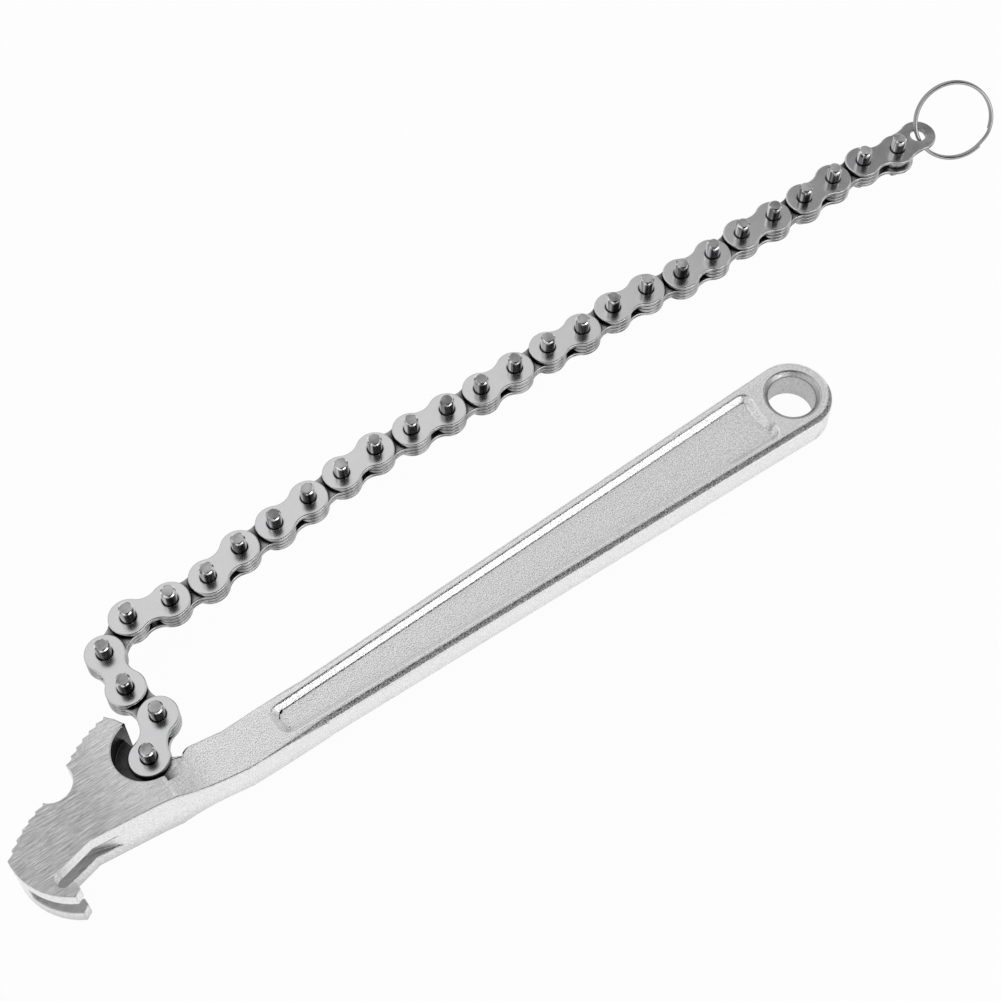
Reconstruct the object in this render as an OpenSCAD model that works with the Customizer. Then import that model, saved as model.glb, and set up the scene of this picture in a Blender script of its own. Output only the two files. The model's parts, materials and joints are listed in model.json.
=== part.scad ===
// Chain pipe wrench: a forged handle with two toothed jaws and a forked claw, a leaf chain
// anchored in the head, and a split ring on the chain's free end.
// Lengths are in millimetres. X runs along the grip, with the head at the low end.
// Z is the direction of every chain pin. The origin is the centre of the hanging hole.

/* [Grip] */
// Distance from the hanging hole to the anchor pin, along the grip
grip_len = 217; // [180:1:260]
// Thickness of the grip
grip_t = 11.8; // [10:0.1:14]
// Width of the grip at its narrow end, next to the head
neck_w = 14; // [12.5:0.1:17]
// Distance from the anchor pin to the narrow end of the grip
neck_dx = 20; // [18:0.5:28]
// Radius of the round hanging end
end_r = 12.2; // [11.5:0.1:15]
// Radius on the long edges of the grip
edge_r = 2.2; // [1:0.1:2.4]
// Length over which that radius runs out towards the head
edge_run = 26; // [16:1:40]

/* [Hanging hole] */
// Diameter of the hanging hole
hang_d = 14.4; // [10:0.1:16]
// Depth and width of the sloped rim on each face of the hole
hang_rim = 1.3; // [0.4:0.1:2]

/* [Sunk panel] */
// Depth of the panel in each face of the grip, and the run of its sloped wall
panel_depth = 1.8; // [0.8:0.1:2.4]
// Flat land left along each long edge of the panel
panel_land = 2.7; // [2.2:0.1:4]
// Distance from the anchor pin to the panel's end at the head
panel_dx = 33; // [26:0.5:60]
// Radius of the panel's corners at its rim
panel_r = 3.2; // [2.6:0.1:4]
// Width of the metal left between the hole's rim and the panel
boss_w = 3.4; // [2:0.1:5]
// Radius of the panel's hollow end, next to the hole
hollow_r = 16; // [13:0.5:24]

/* [Head] */
// Thickness of the head
head_t = 18.4; // [16:0.1:21]
// Height of the anchor pin over the grip's centre line
anchor_dy = 13.2; // [11:0.1:16]
// Distance from the anchor pin to the foot of the slope between grip and head
flare_dx = 13; // [10:0.5:18]
// Length of that slope
flare_len = 14; // [8:0.5:16]
// Gap between the chain's end lobe and the wall of the pocket around it
pocket_gap = 3.6; // [1.5:0.1:4.5]
// Radius of the pocket's outer corner, where the grip's top edge turns into it
mouth_r = 4; // [2:0.1:6]
// Direction from the anchor pin to that corner, against the grip
mouth_turn = -28; // [-34:1:-24]
// Distance from the anchor pin down to the head's belly
belly_dy = 16.2; // [14:0.1:19]

/* [Jaws] */
// Number of teeth on each jaw
teeth = 6; // [4:1:9]
// Depth of the teeth
tooth_depth = 0.7; // [0.4:0.1:1.2]
// Radius to which each row of teeth is curved
jaw_r = 38; // [25:1:80]
// Length of the upper jaw
upper_jaw_len = 16.8; // [14:0.1:19]
// Slope of the upper jaw against the grip
upper_jaw_slope = 23; // [16:1:28]
// Length of the lower jaw
lower_jaw_len = 18; // [15:0.1:21]
// Slope of the lower jaw against the grip
lower_jaw_slope = 30; // [26:1:38]
// Radius of the notch between the jaws
notch_r = 6; // [4:0.1:7]
// Distance from the anchor pin to the tip of the horn over the pocket
horn_reach = 15.6; // [14.5:0.1:18]
// Direction from the anchor pin to that tip, against the grip
horn_turn = 107; // [100:1:112]

/* [Claw] */
// Distance from the anchor pin to the hook's seat, along the grip
seat_dx = 36.2; // [34:0.1:39]
// Distance from the anchor pin to the hook's seat, across the grip
seat_dy = 19.2; // [18:0.1:22]
// Clearance of a chain pin in the hook's seat, on the diameter
seat_gap = 0.55; // [0.2:0.05:1]
// Thickness of the hook under its seat
hook_wall = 3.7; // [2.4:0.1:5]
// Reach of the hook's tip past the seat's centre
hook_reach = 2.2; // [1:0.1:4]
// Thickness of the hook's tip
tip_t = 2.4; // [1:0.1:3]
// Length of the slope from the seat to the lip that a chain pin slides in under
lip_len = 10.5; // [8:0.1:14]
// Rise of that slope
lip_rise = 2.6; // [1.5:0.1:4]
// Radius of the claw's rounded end
claw_r = 20; // [16:0.5:30]
// Clearance of the chain in the slot between the two cheeks, on the width
slot_gap = 0.6; // [0.3:0.1:1.2]
// Distance from the hook's seat to the middle of the slot, along the grip
slot_dx = 4; // [2:0.1:6]
// Radius of the disc that the slot is milled with
slot_r = 30; // [24:0.5:36]
// Depth of the slot over the hook's seat
slot_depth = 7.9; // [6:0.1:9]

/* [Chain] */
// Distance between neighbouring pins
pitch = 12.7; // [12.4:0.1:14]
// Height of a plate across its round ends
plate_h = 11.8; // [10:0.1:11.9]
// Thickness of a plate
plate_t = 1.5; // [1:0.1:1.7]
// Height of a plate at its waist
waist_w = 8; // [7:0.1:9]
// Gap between neighbouring plates along a pin
plate_gap = 0.1; // [0.05:0.01:0.2]
// Diameter of the pins
pin_d = 4.45; // [3.5:0.05:5]
// Running clearance of a pin in the plates that turn on it, on the radius
pin_play = 0.05; // [0.02:0.01:0.1]
// Length of a pin
pin_len = 16.9; // [13:0.1:18.4]
// Chamfer on the ends of a pin
pin_chamfer = 0.5; // [0.2:0.05:0.8]
// Gap between the anchor web and the next link that swings past it
web_gap = 0.8; // [0.4:0.1:1.5]

/* [Pull ring] */
// Distance from the last pin to the ring's hole in the end plate
ring_hole_dx = 9.3; // [8.5:0.1:12]
// Turn of the end plate's third lobe against the link
ring_hole_turn = 15; // [0:1:25]
// Height of the end plate at its waist between the last pin and the ring's hole
ring_waist_w = 10.4; // [9.5:0.1:11]
// Diameter of the ring's hole
ring_hole_d = 4.9; // [4.5:0.1:5.5]
// Mean diameter of the ring
ring_d = 25; // [20:0.5:36]
// Thickness of the ring's wire
wire_d = 1.2; // [0.8:0.05:1.3]
// Lean of the ring from the upright, as it lies
ring_lean = 37; // [30:1:42]
// Rise of the ring's middle over the end plate, as it lies
ring_rise = 18; // [12:1:22]
// Turn of the ring against the last link, as it lies
ring_turn = -7; // [-15:1:15]
// Diameter of the spacer between the plates on the last pin
spacer_d = 9.2; // [7:0.1:10]

/* [Hidden] */
$fn = 64;
EPS = 0.02;
anchor = [-grip_len, anchor_dy];

// The chain as it lies: each link's heading in whole degrees, from the anchor to the free end.
// The first link joins two outer plates, the second two inner plates, and so on in turn.
link_heading = [
    48, 104, 87, 28, -10, 0, 13, 4, 7, 6, 5, -3, -2, 0,
    1, 1, -3, 4, -2, -8, 1, 4, -2, -1, 3, -1, -12
];
link_count = len(link_heading);
OUTER = [for (i = [1 : 2 : link_count]) i];
INNER = [for (i = [2 : 2 : link_count]) i];

function polar(r, a) = r * [cos(a), sin(a)];
function pin_at(n) = n == 0 ? anchor : pin_at(n - 1) + polar(pitch, link_heading[n - 1]);
function name_of(i, piece) = str("link_", i < 10 ? "0" : "", i, "_", piece);

// Heights along a pin: two inner plates lie on the mid plane, with an outer plate on each side.
inner_z = plate_gap / 2;
inner_t = 2 * (inner_z + plate_t);
outer_z = inner_t / 2 + plate_gap;
chain_t = 2 * (outer_z + plate_t);
plate_r = plate_h / 2;

// Step between the ring's two turns, which press into each other a little.
turn_step = 0.9 * wire_d;

// Handle, seen along the pins, with the anchor pin as the reference point of the head.
pocket_r = plate_r + pocket_gap;
web_r = pitch - plate_r - web_gap;
web_reach = 2 * pocket_r;
neck = [neck_dx - grip_len, neck_w / 2];
taper = asin(end_r / norm(neck)) - atan2(neck.y, -neck.x);
end_top = polar(end_r - EPS, 90 + taper);
end_low = [end_top.x, -end_top.y];
hole_rim_r = hang_d / 2 + hang_rim;
neck_top = [neck_dx, neck_w / 2 - anchor_dy];
neck_low = [neck_dx, -neck_w / 2 - anchor_dy];

// Corner where the grip's top edge meets the pocket, and the arc that rounds it.
mouth = polar(pocket_r, mouth_turn);
top_dir = (neck_top - mouth) / norm(neck_top - mouth);
top_up = [-top_dir.y, top_dir.x];
mouth_foot = mouth - mouth_r * top_up;
mouth_b = mouth_foot * top_dir;
mouth_c = mouth_foot * mouth_foot - pow(pocket_r + mouth_r, 2);
mouth_centre = mouth_foot + top_dir * (sqrt(mouth_b * mouth_b - mouth_c) - mouth_b);

// Jaws, from the horn over the pocket to the lower tip. The notch between them is an arc that
// starts at the upper jaw in the direction notch_turn and ends at the lower one, notch_bend on.
notch_turn = 18;
notch_bend = 22;
horn_tip = polar(horn_reach, horn_turn);
horn_root = polar(pocket_r, horn_turn - 12);
horn_side = polar((pocket_r + horn_reach) / 2, horn_turn - 6);
upper_tip = horn_tip + polar(upper_jaw_len, 180 + upper_jaw_slope);
notch = upper_tip + polar(notch_r, 180 + notch_turn);
lower_root = notch + polar(notch_r, 180 + notch_turn + notch_bend);
lower_tip = lower_root + polar(lower_jaw_len, 180 + lower_jaw_slope);

// Claw: the hook's seat, its tip, and the lip that the chain pin slides in under.
seat_r = (pin_d + seat_gap) / 2;
seat = [-seat_dx, -seat_dy];
hook_low = seat - [0, seat_r + hook_wall];
hook_tip = seat + [hook_reach, -seat_r];
lip = seat + [lip_len, seat_r + lip_rise];
belly = [-web_r, -belly_dy];
slot_w = chain_t + slot_gap;
slot_centre = seat + [slot_dx, slot_depth - slot_r];

// Point at the share s of the arc of radius r from p to q, which bulges to the right of the way.
function arc_centre(p, q, r) =
    let (d = q - p, h = sqrt(r * r - d * d / 4))
    (p + q) / 2 + h * [-d.y, d.x] / norm(d);
function arc_point(p, q, r, s) =
    let (c = arc_centre(p, q, r), half = asin(norm(q - p) / 2 / r), m = (p + q) / 2 - c)
    c + polar(r, atan2(m.y, m.x) + half * (2 * s - 1));

// Saw teeth along a jaw: a tip on the arc, then a steep drop towards the next one.
function jaw(p, q) = [
    for (i = [0 : teeth])
        each i < teeth
            ? [arc_point(p, q, jaw_r, i / teeth), tooth_root(p, q, (i + 0.2) / teeth)]
            : [q]
];
function tooth_root(p, q, s) =
    let (a = arc_point(p, q, jaw_r, s), c = arc_centre(p, q, jaw_r))
    a + tooth_depth * (c - a) / norm(c - a);

// Handle seen from above, about the anchor pin, without the pocket and the round hanging end.
module handle_plan() {
    difference() {
        polygon(concat(
            [end_low - anchor, end_top - anchor, neck_top, mouth, horn_root, horn_side],
            jaw(horn_tip, upper_tip),
            jaw(lower_root, lower_tip),
            [for (s = [0.1 : 0.1 : 0.9]) arc_point(lower_tip, hook_low, claw_r, s)],
            [hook_low, hook_tip - [0, tip_t], hook_tip],
            [seat - [0, seat_r], seat + [0, seat_r], lip, belly, neck_low]
        ));
        translate(notch) circle(notch_r);
        translate(seat) circle(seat_r);
        circle(pocket_r);
        mouth_corner();
    }
}

// Sharp corner that the mouth's arc takes away.
module mouth_corner() {
    on_edge = mouth_centre + mouth_r * top_up;
    on_pocket = mouth_centre * pocket_r / (pocket_r + mouth_r);
    difference() {
        polygon([mouth_centre, on_edge, [on_pocket.x, on_edge.y + mouth_r], on_pocket]);
        translate(mouth_centre) circle(mouth_r);
    }
}

// From the side, what lies over one face of the thin grip, with a hollow slope up to the head.
module side_waste() {
    drop = (head_t - grip_t) / 2;
    slope_r = (flare_len * flare_len + drop * drop) / (2 * drop);
    foot = [anchor.x + flare_dx, grip_t / 2];
    crest = foot + [-flare_len, drop];
    rotate([90, 0, 0]) linear_extrude(6 * end_r, center = true)
        polygon(concat(
            [for (s = [0 : 0.125 : 1]) arc_point(crest, foot, slope_r, s)],
            [[2 * end_r, foot.y], [2 * end_r, head_t], [crest.x, head_t]]
        ));
}

// What is left outside a rounded edge of radius edge_r, at the corner of a face of the grip.
// The arc leaves the two faces at a slight angle, so that no sliver stays between them.
module edge_waste() {
    translate([2 * EPS - edge_r, grip_t / 2 + EPS - edge_r])
        difference() {
            square(2 * edge_r);
            circle(edge_r);
        }
}

// Prism whose section lies to the left of the way from p to q, with the section's height along Z.
module along(p, q) {
    d = q - p;
    translate(p) rotate(atan2(d.y, d.x)) rotate([90, 0, 90]) linear_extrude(norm(d)) children();
}

// Rounding of the grip's long edges and of its round end, on one face. It runs out towards the head,
// and the straight part passes the round one a little, so that the two cross at an angle.
module round_edges() {
    wall = (end_top - neck) / norm(end_top - neck);
    full = neck + edge_run * wall;
    faded = neck - wall + edge_r * [-wall.y, wall.x];
    for (side = [0, 1]) mirror([0, side, 0]) {
        along(full - edge_r / 8 * wall, end_top + edge_r * wall) edge_waste();
        along(faded, full) edge_waste();
    }
    rotate(-90 - taper) rotate_extrude(angle = 180 + 2 * taper)
        translate([end_r + 2 * EPS, 0]) edge_waste();
}

// Sunk panel of one face: sloped walls, round corners, and a hollow end next to the hanging hole.
module panel() {
    floor_z = grip_t / 2 - panel_depth;
    low_r = panel_r - panel_depth;
    tall = panel_depth + edge_r;
    half = function (x) neck.y + (x - neck.x) * tan(taper) - panel_land - panel_r;
    hollow = [hollow_r - hole_rim_r - boss_w, 0];
    x0 = -grip_len + panel_dx + panel_r;
    x1 = hollow.x - sqrt(pow(hollow_r + panel_r, 2) - pow(half(-hole_rim_r - boss_w), 2));
    corners = [[x0, half(x0)], [x0, -half(x0)], [x1, -half(x1)], [x1, half(x1)]];
    back = [panel_r, 0];
    translate([0, 0, floor_z]) {
        linear_extrude(tall) polygon(corners);
        for (corner = corners) translate(corner)
            cylinder(r1 = low_r + 2 * EPS, r2 = low_r + tall + 2 * EPS, h = tall);
        for (i = [0, 1, 3]) {
            step = corners[(i + 1) % 4] - corners[i];
            inset = 2 * EPS * step / norm(step);
            along(corners[i] + step - inset, corners[i] + inset)
                polygon([[-EPS, 0], [low_r, 0], [low_r + tall, tall], [-EPS, tall]]);
        }
        difference() {
            linear_extrude(tall)
                polygon([corners[2] - back, corners[2], hollow, corners[3], corners[3] - back]);
            translate([hollow.x, 0, -panel_depth])
                cylinder(r1 = hollow_r + 2 * panel_depth, r2 = hollow_r - 2 * edge_r, h = 2 * tall,
                         $fn = 96);
        }
    }
}

// Hanging hole with a sloped rim on each face.
module hang_hole() {
    cylinder(d = hang_d, h = head_t, center = true);
    for (face = [0, 1]) mirror([0, 0, face])
        translate([0, 0, grip_t / 2 - hang_rim])
            cylinder(r1 = hang_d / 2, r2 = hole_rim_r + EPS, h = hang_rim + EPS);
}

// Web across the pocket on the mid plane, which the first link straddles.
module anchor_web() {
    linear_extrude(inner_t, center = true) {
        circle(web_r);
        intersection() {
            circle(pocket_r + web_gap);
            polygon([[0, 0], polar(web_reach, mouth_turn), web_reach * [0, -1],
                     web_reach * [-1, -1], polar(web_reach, 180), horn_tip]);
        }
    }
}

module handle() {
    color("silver")
    difference() {
        union() {
            linear_extrude(head_t, center = true) {
                circle(end_r);
                translate(anchor) handle_plan();
            }
            translate(anchor) anchor_web();
        }
        for (face = [0, 1]) mirror([0, 0, face]) {
            side_waste();
            round_edges();
            panel();
        }
        hang_hole();
        translate(anchor) {
            cylinder(r = pin_d / 2 + pin_play, h = head_t, center = true);
            translate(slot_centre) cylinder(r = slot_r, h = slot_w, center = true, $fn = 128);
        }
    }
}

// Round end at the far pin and the waist that joins it to the near pin, a distance len away.
module lobe(len, waist) {
    waist_r = (len * len / 4 + waist * waist / 4 - plate_r * plate_r) / (plate_h - waist);
    waist_y = waist / 2 + waist_r;
    shoulder_y = 0.95 * waist_y * plate_r / (plate_r + waist_r);
    translate([len, 0]) circle(plate_r);
    difference() {
        translate([0, -shoulder_y]) square([len, 2 * shoulder_y]);
        for (side = [-1, 1]) translate([len / 2, side * waist_y]) circle(waist_r);
    }
}

// One plate of link i, with its lower face at height z and holes of radius hole_r.
// The end plate of the chain has a third lobe, which carries the ring.
module plate(i, z, hole_r, third_lobe = false) {
    last = [pitch, 0];
    translate(pin_at(i - 1)) rotate(link_heading[i - 1]) translate([0, 0, z])
        linear_extrude(plate_t) difference() {
            union() {
                circle(plate_r);
                lobe(pitch, waist_w);
                if (third_lobe) translate(last) rotate(ring_hole_turn) lobe(ring_hole_dx, ring_waist_w);
            }
            circle(hole_r);
            translate(last) circle(hole_r);
            if (third_lobe) translate(last + polar(ring_hole_dx, ring_hole_turn))
                circle(d = ring_hole_d);
        }
}

// Round pin with chamfered ends, standing out equally on both sides of the chain.
module pin() {
    r = pin_d / 2;
    h = pin_len / 2;
    rotate_extrude()
        polygon([[0, -h], [r - pin_chamfer, -h], [r, pin_chamfer - h],
                 [r, h - pin_chamfer], [r - pin_chamfer, h], [0, h]]);
}

module upper_plate(i) {
    color("darkgray") plate(i, outer_z, pin_d / 2, third_lobe = i == link_count);
}

module lower_plate(i) {
    color("darkgray") plate(i, -outer_z - plate_t, pin_d / 2);
}

module pins(i) {
    color("dimgray") for (n = [i - 1, i]) translate(pin_at(n)) pin();
}

module inner_plates(i) {
    color("darkgray") for (z = [-inner_z - plate_t, inner_z]) plate(i, z, pin_d / 2 + pin_play);
}

// Collar that fills the gap between the plates on the last pin.
module end_spacer() {
    color("gray")
    translate(pin_at(link_count))
        difference() {
            cylinder(d = spacer_d, h = 2 * outer_z, center = true);
            cylinder(d = pin_d, h = head_t, center = true);
        }
}

// Split ring of two turns, hung in the end plate's hole and leaning against its rim.
module pull_ring() {
    heading = link_heading[link_count - 1];
    hole = pin_at(link_count) + polar(ring_hole_dx, heading + ring_hole_turn);
    color("lightgray")
    translate([hole.x, hole.y, outer_z + plate_t / 2])
        rotate([0, -ring_rise, heading + ring_turn]) rotate([90 - ring_lean, 0, 0])
            translate([ring_d / 2, 0, 0])
                rotate_extrude() translate([ring_d / 2, 0])
                    for (side = [-1, 1]) translate([0, side * turn_step / 2])
                        circle(d = wire_d, $fn = 24);
}

handle();
end_spacer();
pull_ring();
for (i = OUTER) {
    upper_plate(i);
    lower_plate(i);
    pins(i);
}
for (i = INNER) {
    inner_plates(i);
}
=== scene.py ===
# %% [markdown]
# # A chain pipe wrench
# The real tool is a plated forging with a chain of stamped steel links. The solids already have
# the right shapes and places, so this lesson is about what makes metal look real: soft edges, a
# fine surface, and a studio that gives the metal something to reflect.
#
# The solids are loaded first. They are never moved, and every length below is in metres, unless a
# name or a comment says millimetres.

# %% Load the solids
import bpy
import json
import math
from mathutils import Matrix, Vector
from types import SimpleNamespace


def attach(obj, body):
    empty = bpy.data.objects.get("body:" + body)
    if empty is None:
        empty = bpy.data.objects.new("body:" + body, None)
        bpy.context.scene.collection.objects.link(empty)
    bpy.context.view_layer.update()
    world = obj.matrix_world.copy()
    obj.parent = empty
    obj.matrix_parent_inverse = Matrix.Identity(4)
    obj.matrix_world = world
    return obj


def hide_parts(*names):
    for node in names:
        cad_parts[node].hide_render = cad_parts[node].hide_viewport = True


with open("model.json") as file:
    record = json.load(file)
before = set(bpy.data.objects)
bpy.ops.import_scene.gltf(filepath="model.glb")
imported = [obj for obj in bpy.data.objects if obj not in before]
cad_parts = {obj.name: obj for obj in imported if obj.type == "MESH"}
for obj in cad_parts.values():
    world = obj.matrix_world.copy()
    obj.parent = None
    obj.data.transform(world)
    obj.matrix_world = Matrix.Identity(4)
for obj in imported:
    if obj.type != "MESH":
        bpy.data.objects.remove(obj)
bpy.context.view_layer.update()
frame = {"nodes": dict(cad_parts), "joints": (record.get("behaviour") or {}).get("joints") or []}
nodes = frame["nodes"]
MM = 0.001
print(len(nodes), "solids loaded")

# %% [markdown]
# ## Camera
# The chain's pins stand in one plane a known distance apart, so their places in the photograph
# give the camera. A long lens, tilted 30 degrees from straight down, was the best fit.

# %% Camera
LENS = 72.7
SENSOR = 36.0
NEAREST = 10 * MM
EYE = Vector((-0.2673, -0.2199, 0.5139))
TARGET = Vector((-0.0910, 0.0239, 0.0007))


def look_at_target(place):
    """The turn that points a camera or a lamp from its place to the wrench."""
    return (TARGET - place).to_track_quat("-Z", "Y").to_euler()


camera = bpy.data.objects.new("camera", bpy.data.cameras.new("camera"))
camera.data.lens = LENS
camera.data.sensor_width = SENSOR
camera.data.sensor_fit = "HORIZONTAL"
camera.data.clip_start = NEAREST
camera.location = EYE
camera.rotation_euler = look_at_target(EYE)
bpy.context.scene.collection.objects.link(camera)
bpy.context.scene.camera = camera
print("camera is", round((TARGET - EYE).length, 3), "m from the wrench")

# %% [markdown]
# ## Node helpers
# Materials here are built in code. Blender's node editor shows the same nodes with wires between
# them, but code can repeat a recipe with other numbers, and this wrench has five metals. The first
# helper feeds an input, either with a constant or from another node. The others make a node and
# feed it.

# %% Node helpers
def feed(tree, socket, value):
    """Sets an input to a constant, or joins another node's output to it."""
    if isinstance(value, (int, float, tuple, Vector)):
        socket.default_value = value
    else:
        tree.links.new(value, socket)


def add_node(tree, kind, **inputs):
    """A node of the given kind; each keyword feeds the input of that name, with _ for a space."""
    node = tree.nodes.new(kind)
    for name, value in inputs.items():
        feed(tree, node.inputs[name.replace("_", " ")], value)
    return node


def math_node(tree, operation, *values, clamp=False):
    """The result of a calculation with one or more values."""
    node = tree.nodes.new("ShaderNodeMath")
    node.operation = operation
    node.use_clamp = clamp
    for slot, value in enumerate(values):
        feed(tree, node.inputs[slot], value)
    return node.outputs[0]


def product(tree, *values):
    """All the values multiplied together."""
    result = values[0]
    for value in values[1:]:
        result = math_node(tree, "MULTIPLY", result, value)
    return result


def vector_node(tree, operation, *values):
    """The outputs of a calculation with vectors."""
    node = tree.nodes.new("ShaderNodeVectorMath")
    node.operation = operation
    for slot, value in enumerate(values):
        feed(tree, node.inputs[slot], value)
    return node.outputs


print("node helpers ready")

# %% [markdown]
# ## Ranges and mixes
# A mask is a number from 0 to 1 that says how much of a finish a point has. Most masks here are a
# measure, such as a place or a slope, that is taken from its own range to that of the mask. A mix
# then blends two colours or two numbers by it.

# %% Ranges and mixes
def map_range(tree, value, before, after=(0.0, 1.0), smooth=False):
    """Takes a value from one range to another, and holds it at the ends."""
    names = ("From_Min", "From_Max", "To_Min", "To_Max")
    node = add_node(tree, "ShaderNodeMapRange", Value=value, **dict(zip(names, (*before, *after))))
    if smooth:
        node.interpolation_type = "SMOOTHSTEP"
    return node.outputs["Result"]


def mix_colour(tree, factor, first, second, blend="MIX"):
    """A mix of two colours; the sockets of that kind are numbers 0, 6 and 7 of the node."""
    node = tree.nodes.new("ShaderNodeMix")
    node.data_type = "RGBA"
    node.blend_type = blend
    for slot, value in ((0, factor), (6, first), (7, second)):
        feed(tree, node.inputs[slot], value)
    return node.outputs[2]


def mix_value(tree, factor, first, second):
    """A mix of two numbers; the sockets of that kind are numbers 0, 2 and 3 of the node."""
    node = tree.nodes.new("ShaderNodeMix")
    for slot, value in ((0, factor), (2, first), (3, second)):
        feed(tree, node.inputs[slot], value)
    return node.outputs[0]


def grey(level):
    """A neutral colour."""
    return (level, level, level, 1.0)


print("ranges and mixes ready")

# %% [markdown]
# ## Places and groups
# Most masks below ask two things of a point: where it is on its piece, and which way its face
# looks. Both come from the texture coordinates. Effects that several metals share are node
# groups, so a third helper starts a group with named sockets, and a fourth places it in a
# material.

# %% Places and groups
def coords(tree, kind):
    """A texture coordinate: Object for places, Normal for the way a face looks."""
    return tree.nodes.new("ShaderNodeTexCoord").outputs[kind]


def split_xyz(tree, vector):
    """The three parts of a vector, by the names X, Y and Z."""
    return add_node(tree, "ShaderNodeSeparateXYZ", Vector=vector).outputs


def new_group(name, inputs, outputs):
    """An empty shader node group. inputs maps a socket's name to its default value."""
    tree = bpy.data.node_groups.new(name, "ShaderNodeTree")
    for socket, value in inputs.items():
        made = tree.interface.new_socket(socket, in_out="INPUT", socket_type="NodeSocketFloat")
        made.default_value = value
    for socket in outputs:
        tree.interface.new_socket(socket, in_out="OUTPUT", socket_type="NodeSocketFloat")
    return tree, tree.nodes.new("NodeGroupInput").outputs, tree.nodes.new("NodeGroupOutput").inputs


def place_group(tree, group, **inputs):
    """Places a group in a material with its own values, and gives back its outputs."""
    node = tree.nodes.new("ShaderNodeGroup")
    node.node_tree = group
    for name, value in inputs.items():
        feed(tree, node.inputs[name.replace("_", " ")], value)
    return node.outputs


print("places and groups ready")

# %% [markdown]
# ## Fine grain
# Plated and tumbled steel is never a mirror: under a lens it is a field of tiny pits. Two noises
# of different size give the height for the bump, a mottle for the roughness, and a tone around 1
# for the colour. Every metal of the wrench uses this group with its own size of pit, in
# millimetres.

# %% Group: fine grain
MM_PER_M = 1000.0
MOTTLE_SCALE = 0.08

grain_group, given, made = new_group(
    "fine_grain", {"Size": 0.5, "Contrast": 0.5}, ["Height", "Mottle", "Tone"])
place = coords(grain_group, "Object")
per_metre = math_node(grain_group, "DIVIDE", MM_PER_M, given["Size"])
pits = add_node(grain_group, "ShaderNodeTexNoise",
                Vector=place, Scale=per_metre, Detail=3.0, Roughness=0.6).outputs["Fac"]
mottle = add_node(grain_group, "ShaderNodeTexNoise",
                  Vector=place, Scale=product(grain_group, per_metre, MOTTLE_SCALE),
                  Detail=2.0, Roughness=0.5).outputs["Fac"]
around_zero = math_node(grain_group, "SUBTRACT", pits, 0.5)
around_zero = product(grain_group, around_zero, given["Contrast"])
feed(grain_group, made["Height"], pits)
feed(grain_group, made["Mottle"], mottle)
feed(grain_group, made["Tone"], math_node(grain_group, "ADD", around_zero, 1.0))
print("group:", grain_group.name)

# %% [markdown]
# ## Ground lines
# The faces of the head are ground flat after forging, which leaves fine lines along the handle.
# Noise that is squeezed across the lines and stretched along them looks the same. The group takes
# the spacing and the length of the lines, in millimetres.

# %% Group: ground lines
lines_group, given, made = new_group("ground_lines", {"Spacing": 0.25, "Length": 9.0}, ["Height"])
line_sizes = add_node(lines_group, "ShaderNodeCombineXYZ",
                      X=math_node(lines_group, "DIVIDE", MM_PER_M, given["Length"]),
                      Y=math_node(lines_group, "DIVIDE", MM_PER_M, given["Spacing"]))
stretched = vector_node(
    lines_group, "MULTIPLY", coords(lines_group, "Object"), line_sizes.outputs["Vector"])
lines = add_node(lines_group, "ShaderNodeTexNoise",
                 Vector=stretched["Vector"], Scale=1.0, Detail=4.0, Roughness=0.65)
feed(lines_group, made["Height"], lines.outputs["Fac"])
print("group:", lines_group.name)

# %% [markdown]
# ## Painted corner shade
# Where two plates meet, or a pin stands in its hole, the colour is darkened as painted shade.
# Ambient occlusion finds such places: it is 1 in the open and falls towards 0 in a corner. A
# second one looks at the piece by itself and close up, outward for the foot of a wall and inward
# for the rim of an edge. It draws a thin dark line of painted shade on both. The two
# distances are in millimetres.

# %% Group: painted corner shade
corner_shade_group, given, made = new_group(
    "painted_corner_shade", {"Reach": 2.0, "Depth": 1.0, "Line": 0.5, "Line Depth": 1.0}, ["Open"])


def shade_by_closeness(reach, depth, own_piece, inward):
    """1 in the open, towards 0 where faces stand within reach of each other."""
    occlusion = add_node(corner_shade_group, "ShaderNodeAmbientOcclusion",
                         Distance=product(corner_shade_group, given[reach], MM))
    occlusion.samples = 8
    occlusion.only_local = own_piece
    occlusion.inside = inward
    shut = math_node(corner_shade_group, "SUBTRACT", 1.0, occlusion.outputs["AO"])
    shut = math_node(corner_shade_group, "MULTIPLY", shut, given[depth], clamp=True)
    return math_node(corner_shade_group, "SUBTRACT", 1.0, shut)


# Painted shade in corners, and painted dark lines at the foot of walls and at the rim of edges
corners_open = shade_by_closeness("Reach", "Depth", own_piece=False, inward=False)
foot_shade_line = shade_by_closeness("Line", "Line Depth", own_piece=True, inward=False)
rim_shade_line = shade_by_closeness("Line", "Line Depth", own_piece=True, inward=True)
feed(corner_shade_group, made["Open"], product(corner_shade_group, corners_open, foot_shade_line, rim_shade_line))
print("group:", corner_shade_group.name)

# %% [markdown]
# ## Metal
# All the finishes start from the same recipe: a metallic Principled shader, its roughness moved
# by the mottle, its colour darkened in the corners as painted shade, and a small bump from the
# grain. Only the numbers differ, so one function starts each material and gives back what the
# later cells build on. The wire of the ring needs nothing more.

# %% Metal recipe
ROUGHNESS_PLAY = 0.05
PIT_DEPTH = 0.2 * MM


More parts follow.
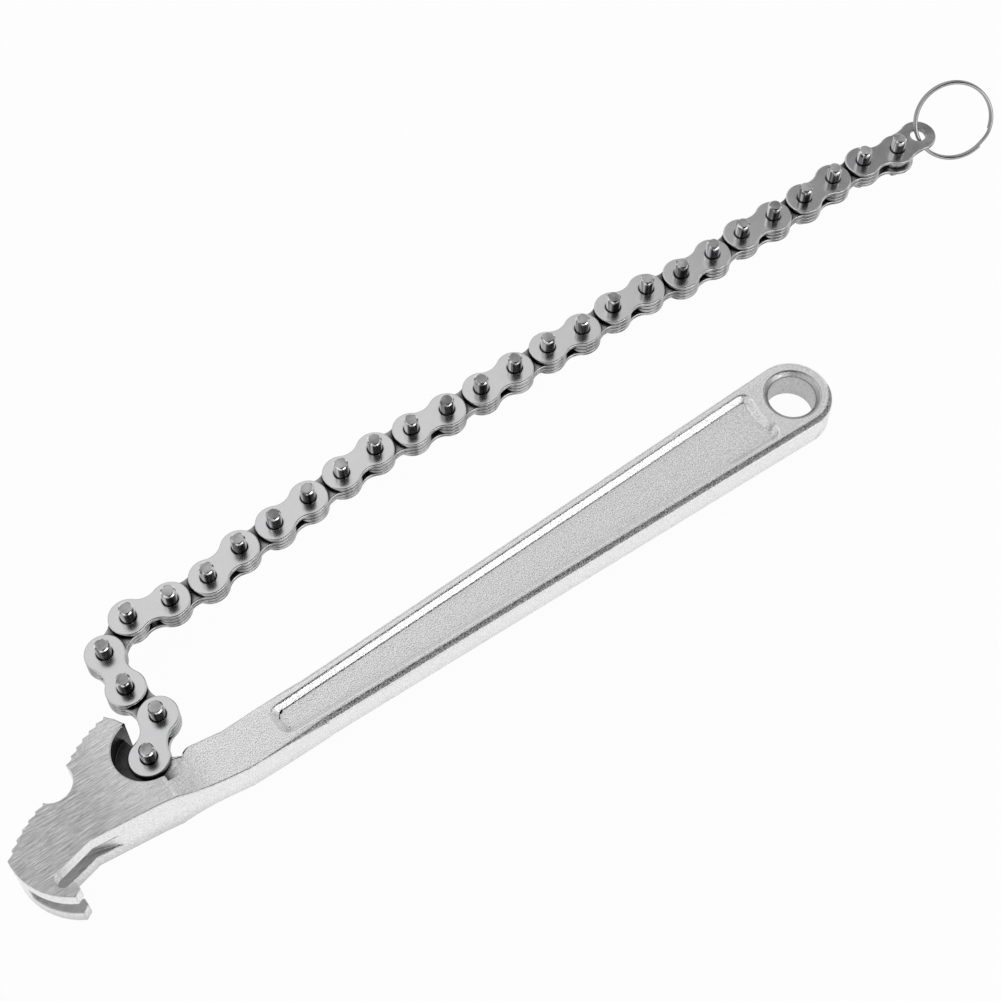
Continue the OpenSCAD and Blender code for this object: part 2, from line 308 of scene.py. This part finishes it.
def start_metal(name, colour, roughness, grain_size, contrast, bump,
                reach, depth, line, line_depth):
    """A metal with grain and painted corner shade, as its material, shader, sockets and bump node.
    """
    material = bpy.data.materials.new(name)
    material.use_nodes = True
    tree = material.node_tree
    shader = tree.nodes["Principled BSDF"].inputs
    feed(tree, shader["Metallic"], 1.0)
    grain = place_group(tree, grain_group, Size=grain_size, Contrast=contrast)
    corners = place_group(
        tree, corner_shade_group, Reach=reach, Depth=depth, Line=line, Line_Depth=line_depth)
    # The colour is darkened by the painted corner shade and toned by the grain
    shade = product(tree, corners["Open"], grain["Tone"])
    tone = mix_colour(tree, 1.0, (*colour, 1.0), shade, "MULTIPLY")
    feed(tree, shader["Base Color"], tone)
    spread = map_range(tree, grain["Mottle"], (0.0, 1.0),
                       (roughness - ROUGHNESS_PLAY, roughness + ROUGHNESS_PLAY))
    feed(tree, shader["Roughness"], spread)
    relief = add_node(tree, "ShaderNodeBump",
                      Strength=bump, Distance=PIT_DEPTH, Height=grain["Height"])
    feed(tree, shader["Normal"], relief.outputs["Normal"])
    return SimpleNamespace(material=material, tree=tree, shader=shader, grain=grain,
                           tone=tone, spread=spread, relief=relief)


wire_metal = start_metal(
    "ring_wire", colour=(0.38, 0.38, 0.39), roughness=0.2, grain_size=0.3, contrast=0.0, bump=0.05,
    reach=0.6, depth=0.8, line=0.2, line_depth=0.0).material
print("metal:", wire_metal.name)

# %% [markdown]
# ## Chain plates
# A plate is stamped out of strip: its faces are tumbled smooth, and its sheared edge has upright
# marks from the die. The edge is made darker, partly the sheared steel's own tone and partly
# painted shade with painted reflection streaks. The way a face looks tells face and edge apart, and
# noise that is stretched upright makes the marks. The inner plates lie deeper in the chain, so
# their corners get more painted shade.

# %% Plate materials
MARKS_PER_M_UPRIGHT = 40.0
MARK_NOISE = (0.38, 0.62)
SHEARED_FACING = (0.45, 0.15)
PLATE_MARK_WIDTH = 3.0
PLATE_MARK_AND_SHADE_TONE = (0.2, 0.72)


def upright_marks_and_streaks(tree, width, tones):
    """A tone of upright marks, each about as wide as given in millimetres: partly real marks and
    partly painted reflection streaks.
    """
    across = 1 / (width * MM)
    squeezed = vector_node(
        tree, "MULTIPLY", coords(tree, "Object"), (across, across, MARKS_PER_M_UPRIGHT))
    marks = add_node(tree, "ShaderNodeTexNoise",
                     Vector=squeezed["Vector"], Scale=1.0, Detail=2.0, Roughness=0.5)
    return map_range(tree, marks.outputs["Fac"], MARK_NOISE, tones)


def upright_share(tree):
    """How far a face looks up or down: 1 on a flat face, 0 on an upright one."""
    return math_node(tree, "ABSOLUTE", split_xyz(tree, coords(tree, "Normal"))["Z"])


def plate_finish(name, reach, depth):
    """A plate's material; reach and depth say how much painted shade its corners get."""
    metal = start_metal(
        name, colour=(0.70, 0.70, 0.71), roughness=0.22, grain_size=0.35, contrast=0.4, bump=0.05,
        reach=reach, depth=depth, line=0.5, line_depth=0.6)
    sheared = map_range(metal.tree, upright_share(metal.tree), SHEARED_FACING)
    # The sheared edge is darkened with upright marks: partly its own tone, partly painted shade and
    # painted reflection streaks
    marks = upright_marks_and_streaks(metal.tree, PLATE_MARK_WIDTH, PLATE_MARK_AND_SHADE_TONE)
    edge = mix_colour(metal.tree, sheared, metal.tone, marks, "MULTIPLY")
    feed(metal.tree, metal.shader["Base Color"], edge)
    return metal.material


outer_metal = plate_finish("chain_plate", reach=0.8, depth=1.3)
inner_metal = plate_finish("chain_plate_inner", reach=3.0, depth=2.2)
print("metals:", outer_metal.name, inner_metal.name)

# %% [markdown]
# ## Pins
# The pins are drawn bar, polished along their sides, and cut off: the cut ends are matt and
# uneven. The way a face looks tells the two apart, and the sides have the same kind of upright
# marks as the plates, dark and bright: partly drawing marks and partly painted reflection streaks.

# %% Pin material
PIN_MARK_WIDTH = 1.1
PIN_MARK_AND_STREAK_TONE = (0.18, 1.1)
CUT_FACING = (0.96, 0.99)
CUT_PER_M = 110.0
CUT_NOISE = (0.36, 0.64)
CUT_TONE = (0.26, 0.66)
CUT_ROUGHNESS = 0.45

pin = start_metal(
    "pin_steel", colour=(0.85, 0.85, 0.86), roughness=0.12, grain_size=0.3, contrast=0.0, bump=0.04,
    reach=1.2, depth=0.7, line=0.3, line_depth=0.3)
tree = pin.tree
# Dark and bright upright streaks on the pin sides: partly drawing marks, partly painted reflection
# streaks
sides = mix_colour(
    tree, 1.0, pin.tone, upright_marks_and_streaks(tree, PIN_MARK_WIDTH, PIN_MARK_AND_STREAK_TONE), "MULTIPLY")
cut_end = map_range(tree, upright_share(tree), CUT_FACING)
cut_noise = add_node(tree, "ShaderNodeTexNoise",
                     Vector=coords(tree, "Object"), Scale=CUT_PER_M, Detail=4.0, Roughness=0.6)
cut_tone = map_range(tree, cut_noise.outputs["Fac"], CUT_NOISE, CUT_TONE)
feed(tree, pin.shader["Base Color"], mix_colour(tree, cut_end, sides, cut_tone))
feed(tree, pin.shader["Roughness"], mix_value(tree, cut_end, pin.spread, CUT_ROUGHNESS))
print("metal:", pin.material.name)

# %% [markdown]
# ## Plated handle
# The forging is blasted and plated, so it is a bright satin with a visible grain. Only the flat
# faces of the head are ground. Their lines are real, and their darker overall tone is a painted
# darker reflection. A mask made of two facts, where the point is and which way its face looks,
# mixes the ground finish in and lets it fade towards the grip.

# %% Handle material
GROUND_FADE_X = (-0.204, -0.238)
GROUND_FACING = (0.80, 0.88)
LINE_NOISE = (0.3, 0.7)
GROUND_LINE_SHADE_TONE = (0.36, 0.98)

# The handle's painted corner shade reaches 9 mm, into the pocket too
handle = start_metal(
    "handle_plating", colour=(0.95, 0.95, 0.95), roughness=0.22, grain_size=0.42, contrast=1.3,
    bump=0.7, reach=9.0, depth=0.7, line=0.6, line_depth=1.6)
tree = handle.tree
place = split_xyz(tree, coords(tree, "Object"))
facing = split_xyz(tree, coords(tree, "Normal"))
up_or_down = math_node(tree, "ABSOLUTE", facing["Z"])
flat = map_range(tree, up_or_down, GROUND_FACING)
near_head = map_range(tree, place["X"], GROUND_FADE_X)
ground_face = math_node(tree, "MULTIPLY", near_head, flat, clamp=True)
ground_lines = place_group(tree, lines_group, Spacing=0.16, Length=7.0)["Height"]
# The ground lines, darker overall as a painted darker reflection
ground_lines_and_shade = map_range(tree, ground_lines, LINE_NOISE, GROUND_LINE_SHADE_TONE)
finish = mix_colour(tree, ground_face, handle.tone, ground_lines_and_shade)
feed(tree, handle.relief.inputs["Height"],
     mix_value(tree, ground_face, handle.grain["Height"], ground_lines))
print("metal:", handle.material.name)

# %% [markdown]
# ## Painted shade in the pocket
# The pocket around the anchor pin, below the ground face, is darkened as painted shade. The mask is
# a short upright cylinder around the pin that fades out on the side of the grip.

# %% Painted shade in the pocket
ANCHOR = (-0.2170, 0.0132, 0.0)
POCKET_SHADE_R = 11.5 * MM
POCKET_SHADE_TOP = 8.7 * MM
POCKET_SHADE_FADE_X = (ANCHOR[0] + 4 * MM, ANCHOR[0] + 0.5 * MM)
POCKET_SHADE_GREY = 0.13

flat_place = add_node(tree, "ShaderNodeCombineXYZ", X=place["X"], Y=place["Y"]).outputs["Vector"]
from_anchor = vector_node(tree, "DISTANCE", flat_place, ANCHOR)["Value"]
# Painted shade in the pocket around the anchor pin
pocket_shade_mask = product(
    tree,
    math_node(tree, "LESS_THAN", from_anchor, POCKET_SHADE_R),
    math_node(tree, "LESS_THAN", math_node(tree, "ABSOLUTE", place["Z"]), POCKET_SHADE_TOP),
    map_range(tree, place["X"], POCKET_SHADE_FADE_X))
finish = mix_colour(tree, pocket_shade_mask, finish, grey(POCKET_SHADE_GREY), "MULTIPLY")
print("pocket shade within", POCKET_SHADE_R / MM, "mm of the anchor pin")

# %% [markdown]
# ## Dark edge band and hanging hole
# Along the rounded lower edge of the grip, a dark band in specks is painted, as a painted dark
# reflection. The round is found by the way it faces: it leans to that side, but not far. The rim
# and the wall of the hanging hole are darkened as painted shade, which is a matter of distance
# from the hole's middle.

# %% Painted edge band and hole shade
EDGE_LEAN = (-0.12, -0.28)
EDGE_FACING = (0.44, 0.62)
EDGE_FADE_X = (-0.200, -0.170)
LOW_SIDE_Y = -3 * MM
SPECK_NOISE = (0.36, 0.62)
SPECK_TONE = (0.04, 0.52)
HOLE_RIM_R = 8.9 * MM
HOLE_SHADE_GREY = 0.62

# Painted dark reflection along the lower rounded edge of the grip, in specks
painted_edge_band = product(
    tree,
    map_range(tree, facing["Y"], EDGE_LEAN),
    map_range(tree, up_or_down, EDGE_FACING),
    math_node(tree, "LESS_THAN", place["Y"], LOW_SIDE_Y),
    map_range(tree, place["X"], EDGE_FADE_X))
specks = map_range(tree, handle.grain["Height"], SPECK_NOISE, SPECK_TONE)
finish = mix_colour(tree, painted_edge_band, finish, specks)
from_hole = vector_node(tree, "LENGTH", flat_place)["Value"]
# Painted shade on the rim and the wall of the hanging hole
at_hole = math_node(tree, "LESS_THAN", from_hole, HOLE_RIM_R)
finish = mix_colour(tree, at_hole, finish, grey(HOLE_SHADE_GREY), "MULTIPLY")
print("painted edge band on", handle.material.name)

# %% [markdown]
# ## Bright panel wall
# The foot of the panel's near wall and its end at the head are made matt and white, as a painted
# highlight. The mask takes the walls that look up the panel or along it, and leaves the grip's own
# upper edge out. There the metal turns into a plain white surface. The painted dark edge band turns
# matt in the same way, but keeps its dark specks.

# %% Panel wall
PANEL_FROM_X = -0.187
PANEL_TO_X = -0.030
WALL_TOP_Y = 1.5 * MM
WALL_SLOPE = 0.62
WALL_HIGHLIGHT_GREY = 0.97
MATT_METALLIC = 0.1

up_the_panel = product(
    tree,
    math_node(tree, "GREATER_THAN", facing["Y"], WALL_SLOPE),
    math_node(tree, "LESS_THAN", place["Y"], WALL_TOP_Y))
along_it = math_node(tree, "GREATER_THAN", facing["X"], WALL_SLOPE)
wall = product(
    tree,
    math_node(tree, "MAXIMUM", up_the_panel, along_it),
    math_node(tree, "GREATER_THAN", up_or_down, WALL_SLOPE),
    math_node(tree, "GREATER_THAN", place["X"], PANEL_FROM_X),
    math_node(tree, "LESS_THAN", place["X"], PANEL_TO_X))
# Painted highlight: the panel walls turn plain white
feed(tree, handle.shader["Base Color"], mix_colour(tree, wall, finish, grey(WALL_HIGHLIGHT_GREY)))
matt = math_node(tree, "MAXIMUM", wall, painted_edge_band)
feed(tree, handle.shader["Metallic"], map_range(tree, matt, (0.0, 1.0), (1.0, MATT_METALLIC)))
print("bright wall on", handle.material.name)

# %% [markdown]
# ## Soft crest
# The ground face runs over into the grip in a long sweep. On the solid the crest of that sweep is
# a plain crease; on the forging it is rounded by the grinding. A bump with the missing round as
# its height, a parabola on each side of the crest, takes the crease away from the light.

# %% Crest of the head
CREST_X = -0.218
CREST_R = 6.0 * MM
CREST_SLOPE = 0.5

beside = math_node(tree, "ABSOLUTE", math_node(tree, "SUBTRACT", place["X"], CREST_X))
inside = math_node(tree, "MAXIMUM", math_node(tree, "SUBTRACT", CREST_R, beside), 0.0)
missing = product(tree, inside, inside, -CREST_SLOPE / (4 * CREST_R), flat)
crest = add_node(tree, "ShaderNodeBump", Strength=1.0, Distance=1.0, Height=missing)
feed(tree, handle.relief.inputs["Normal"], crest.outputs["Normal"])
print("crest rounded over", 2 * CREST_R / MM, "mm")

# %% [markdown]
# ## Clean mesh for the handle
# Two small geometry-node groups help the handle alone. In two places its triangles crowd
# together, and a bevel would throw spikes there: the first group joins those points. The second
# holds all points between the two ground faces of the head, so that no rounded edge stands out
# past the solid.

# %% Geometry groups
# Where the rounded edge of the grip begins, and where the panel's corner runs into its long wall
SEAMS = [(-171.26 * MM, 0.1 * MM), (-180.61 * MM, 0.26 * MM)]
SEAM_STEP = 0.55 * MM
HEAD_HALF = 9.2 * MM


def geometry_group(name):
    """A new group with one geometry in and one out, and the place of each point."""
    group = bpy.data.node_groups.new(name, "GeometryNodeTree")
    for way in ("INPUT", "OUTPUT"):
        group.interface.new_socket("Geometry", in_out=way, socket_type="NodeSocketGeometry")
    geometry = group.nodes.new("NodeGroupInput").outputs["Geometry"]
    result = group.nodes.new("NodeGroupOutput").inputs["Geometry"]
    point = split_xyz(group, group.nodes.new("GeometryNodeInputPosition").outputs["Position"])
    return group, geometry, result, point


def seam_cleaner():
    """Joins the crowded points at the places listed in SEAMS."""
    group, geometry, result, point = geometry_group("seam_cleaner")
    for x, half in SEAMS:
        at_seam = math_node(group, "COMPARE", point["X"], x, half)
        merge = add_node(group, "GeometryNodeMergeByDistance",
                         Geometry=geometry, Selection=at_seam, Distance=SEAM_STEP)
        geometry = merge.outputs["Geometry"]
    feed(group, result, geometry)
    return group


def height_limit():
    """Holds every point between the two ground faces of the head."""
    group, geometry, result, point = geometry_group("height_limit")
    held = add_node(group, "ShaderNodeClamp", Value=point["Z"], Min=-HEAD_HALF, Max=HEAD_HALF)
    new_place = add_node(group, "ShaderNodeCombineXYZ",
                         X=point["X"], Y=point["Y"], Z=held.outputs["Result"])
    put = add_node(group, "GeometryNodeSetPosition",
                   Geometry=geometry, Position=new_place.outputs["Vector"])
    feed(group, result, put.outputs["Geometry"])
    return group


print("seams at", [round(x / MM, 2) for x, half in SEAMS], "mm")

# %% [markdown]
# ## Soft edges
# No real edge is perfectly sharp, and on metal it is the thin round of the edge that catches the
# light. The solids come as triangles with split edges. Modifiers put that right without touching
# the mesh: a weld joins the split points, a dissolve joins the triangles of each flat face, a
# bevel rounds every edge sharper than its angle, and weighted normals keep the large faces flat.

# %% Soft edges
SPLIT_POINTS = 0.02 * MM
WELD_WITHIN = 0.07 * MM
SHARPER_THAN = 28
FLAT_WITHIN = math.radians(0.5)
NORMAL_WEIGHT = 60


def soften(piece, width, segments, weld_within=WELD_WITHIN, sharper_than=SHARPER_THAN):
    """Rounds the edges of a solid; the angle is in degrees."""
    if piece.name == "handle":
        join_up = piece.modifiers.new("join_up", "WELD")
        join_up.merge_threshold = SPLIT_POINTS
        piece.modifiers.new("seam", "NODES").node_group = seam_cleaner()
    weld = piece.modifiers.new("weld", "WELD")
    weld.merge_threshold = weld_within
    flatten = piece.modifiers.new("flatten", "DECIMATE")
    flatten.decimate_type = "DISSOLVE"
    flatten.angle_limit = FLAT_WITHIN
    bevel = piece.modifiers.new("bevel", "BEVEL")
    bevel.width = width
    bevel.segments = segments
    bevel.limit_method = "ANGLE"
    bevel.angle_limit = math.radians(sharper_than)
    bevel.use_clamp_overlap = False
    if piece.name == "handle":
        piece.modifiers.new("limit", "NODES").node_group = height_limit()
    normals = piece.modifiers.new("normals", "WEIGHTED_NORMAL")
    normals.weight = NORMAL_WEIGHT


print("edges sharper than", SHARPER_THAN, "degrees become round")

# %% [markdown]
# ## Finish of each solid
# The name of a solid says what it is made of. The plates are tumbled and have the widest edges, the
# pins are cut off and have hardly any. The handle is curved and has wide facets, so only edges of
# more than 40 degrees count as edges there.

# %% Finish of each solid
def finish_of(name):
    """The material of a solid, and how its edges are softened."""
    if name == "handle":
        return handle.material, dict(
            width=0.35 * MM, segments=3, weld_within=0.15 * MM, sharper_than=40)
    if name == "pull_ring":
        return wire_metal, dict(width=0.05 * MM, segments=1, weld_within=0.02 * MM)
    if name.endswith("_pins"):
        return pin.material, dict(width=0.10 * MM, segments=2)
    if name == "end_spacer":
        return outer_metal, dict(width=0.25 * MM, segments=2)
    plate_metal = inner_metal if name.endswith("_inner_plates") else outer_metal
    return plate_metal, dict(width=0.42 * MM, segments=3)


for name, piece in nodes.items():
    material, edge = finish_of(name)
    piece.data.materials.clear()
    piece.data.materials.append(material)
    soften(piece, **edge)
print("finished", len(nodes), "solids")

# %% [markdown]
# ## Split ring
# The pull ring is one length of wire wound twice round, with a short step where it changes from
# one turn to the other. The solid has two closed turns, so a curve with a round section replaces
# it. Its frame is the one that the ring has on the end plate: hung in the hole, leaning over and
# raised a little.

# %% Path of the wire
RING_R = 12.5 * MM
WIRE_R = 0.6 * MM
TURN_STEP = 1.08 * MM
RING_POINTS = 144
RING_HEADING = math.radians(-19)
RING_RISE = math.radians(-18)
RING_LEAN = math.radians(53)
SPLIT_AT = math.radians(-52)
# Along the wire, counted in turns
FIRST_TURN = 0.04
ALL_TURNS = 1.92
STEP_FROM = 0.965
STEP_OVER = 0.07

ring_joint = next(j for j in frame["joints"] if j["child"] == "ring")
ring_frame = (
    Matrix.Translation(Vector(ring_joint["pos_m"]))
    @ Matrix.Rotation(RING_HEADING, 4, "Z")
    @ Matrix.Rotation(RING_RISE, 4, "Y")
    @ Matrix.Rotation(RING_LEAN, 4, "X")
    @ Matrix.Translation((RING_R, 0, 0))
)
path = []
for i in range(RING_POINTS + 1):
    turns = FIRST_TURN + ALL_TURNS * i / RING_POINTS
    step = min(1.0, max(0.0, (turns - STEP_FROM) / STEP_OVER))
    step = step * step * (3 - 2 * step)
    angle = SPLIT_AT + 2 * math.pi * turns
    path.append(ring_frame @ Vector(
        (RING_R * math.cos(angle), RING_R * math.sin(angle), TURN_STEP * (step - 0.5))))
print("wire path:", len(path), "points")

# %% [markdown]
# A curve becomes wire when it gets a round section and closed ends. It rides on the ring's body,
# so that it swings with the joint.

# %% Split ring
curve = bpy.data.curves.new("split_ring", "CURVE")
curve.dimensions = "3D"
curve.bevel_depth = WIRE_R
curve.bevel_resolution = 6
curve.use_fill_caps = True
spline = curve.splines.new("POLY")
spline.points.add(len(path) - 1)
for point, place_at in zip(spline.points, path):
    point.co = (*place_at, 1.0)
spline.use_smooth = True
split_ring = bpy.data.objects.new("split_ring", curve)
bpy.context.scene.collection.objects.link(split_ring)
curve.materials.append(wire_metal)
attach(split_ring, "ring")
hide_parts("pull_ring")
print("split ring of", 2 * WIRE_R / MM, "mm wire")

# %% [markdown]
# ## Floor
# The wrench lies on a white table. A plain plane, far larger than the wrench, is enough for it. It
# lies a hair below the handle, and it is part of the stage, not of the tool.

# %% Floor
FLOOR_Z = -9.3 * MM
FLOOR_SIZE = 6.0
FLOOR_MIDDLE = (-0.09, 0.02, FLOOR_Z)

bpy.ops.mesh.primitive_plane_add(size=FLOOR_SIZE, location=FLOOR_MIDDLE)
floor = bpy.context.object
floor.name = "floor"
print("floor at", FLOOR_Z)

# %% [markdown]
# ## White table
# More light would turn the table white, and the wrench with it. So the table gives off a white of
# its own instead, and only to the camera and in the metal. The rest is a plain diffuse surface
# that takes the shadow. Seen from below it is clear, so that the underside can be looked at.

# %% White table
TABLE_GREY = 0.95
WHITE_IN_METAL = 0.8
WHITE_TO_CAMERA = 0.96

paper = bpy.data.materials.new("white_table")
paper.use_nodes = True
tree = paper.node_tree
tree.nodes.clear()
rays = tree.nodes.new("ShaderNodeLightPath").outputs
in_metal = math_node(tree, "MAXIMUM", rays["Is Glossy Ray"], rays["Is Transmission Ray"])
white = math_node(tree, "MAXIMUM",
                  product(tree, in_metal, WHITE_IN_METAL),
                  product(tree, rays["Is Camera Ray"], WHITE_TO_CAMERA))
table = add_node(tree, "ShaderNodeBsdfDiffuse", Color=grey(TABLE_GREY)).outputs["BSDF"]
glow = add_node(tree, "ShaderNodeEmission", Color=grey(1.0), Strength=1.0).outputs["Emission"]
clear = tree.nodes.new("ShaderNodeBsdfTransparent").outputs["BSDF"]
from_below = tree.nodes.new("ShaderNodeNewGeometry").outputs["Backfacing"]


def mix_shader(factor, first, second):
    """The first shader where the factor is 0, the second where it is 1."""
    node = tree.nodes.new("ShaderNodeMixShader")
    for slot, value in enumerate((factor, first, second)):
        feed(tree, node.inputs[slot], value)
    return node.outputs["Shader"]


from_above = mix_shader(white, table, glow)
add_node(tree, "ShaderNodeOutputMaterial", Surface=mix_shader(from_below, from_above, clear))
floor.data.materials.append(paper)
print("table material:", paper.name)

# %% [markdown]
# ## Room
# The room is a white tent with a dark opening above the camera's place, and that opening is what
# draws the dark lines in the metal. The tent is also darker on the far side, which the end of the
# chain reflects, and towards the horizon, which the flat faces show in a low view. To the camera
# itself it is white.

# %% Room
# Each part of the tent: its direction, the angles in degrees where it begins and is complete,
# and the brightness outside and inside it
OPENING = (Vector((0.02, -0.42, 0.90)), (43, 29), (0.896, 0.016))
FAR_SIDE = (Vector((0.60, 0.42, 0.68)), (16, 4), (1.0, 0.1))
HORIZON = (Vector((0, 0, -1)), (125, 100), (1.0, 0.6))

world = bpy.data.worlds.new("studio")
bpy.context.scene.world = world
world.use_nodes = True
tree = world.node_tree
tree.nodes.clear()
ray = coords(tree, "Generated")


def tent_part(direction, angles, brightness):
    """Brightness that goes from outside to inside as a ray nears a direction."""
    near = vector_node(tree, "DOT_PRODUCT", ray, direction.normalized())["Value"]
    cosines = [math.cos(math.radians(angle)) for angle in angles]
    return map_range(tree, near, cosines, brightness, smooth=True)


light = product(tree, *(tent_part(*part) for part in (OPENING, FAR_SIDE, HORIZON)))
to_camera = tree.nodes.new("ShaderNodeLightPath").outputs["Is Camera Ray"]
sky = add_node(tree, "ShaderNodeBackground",
               Color=grey(1.0), Strength=math_node(tree, "MAXIMUM", light, to_camera))
add_node(tree, "ShaderNodeOutputWorld", Surface=sky.outputs["Background"])
print("white room with a dark opening for the camera")

# %% [markdown]
# ## Lamp
# The tent gives nearly all the light, because metal looks like what is around it. A tent alone is
# flat, though. So one weak, low softbox stands on the near side of the table and brightens the
# faces that lean that way.

# %% Lamp
SOFTBOX_FROM_TARGET = Vector((0.24, -0.89, 0.38))
SOFTBOX_SIZE = (0.75, 0.4)
SOFTBOX_WATTS = 1.8

lamp = bpy.data.lights.new("softbox_low", "AREA")
lamp.shape = "RECTANGLE"
lamp.size, lamp.size_y = SOFTBOX_SIZE
lamp.energy = SOFTBOX_WATTS
softbox = bpy.data.objects.new("softbox_low", lamp)
softbox.location = TARGET + SOFTBOX_FROM_TARGET
softbox.rotation_euler = look_at_target(softbox.location)
bpy.context.scene.collection.objects.link(softbox)
print("one softbox")

# %% [markdown]
# ## View transform
# The view transform stays Standard, so colours come out as written.

# %% Finish
bpy.context.scene.view_settings.view_transform = "Standard"
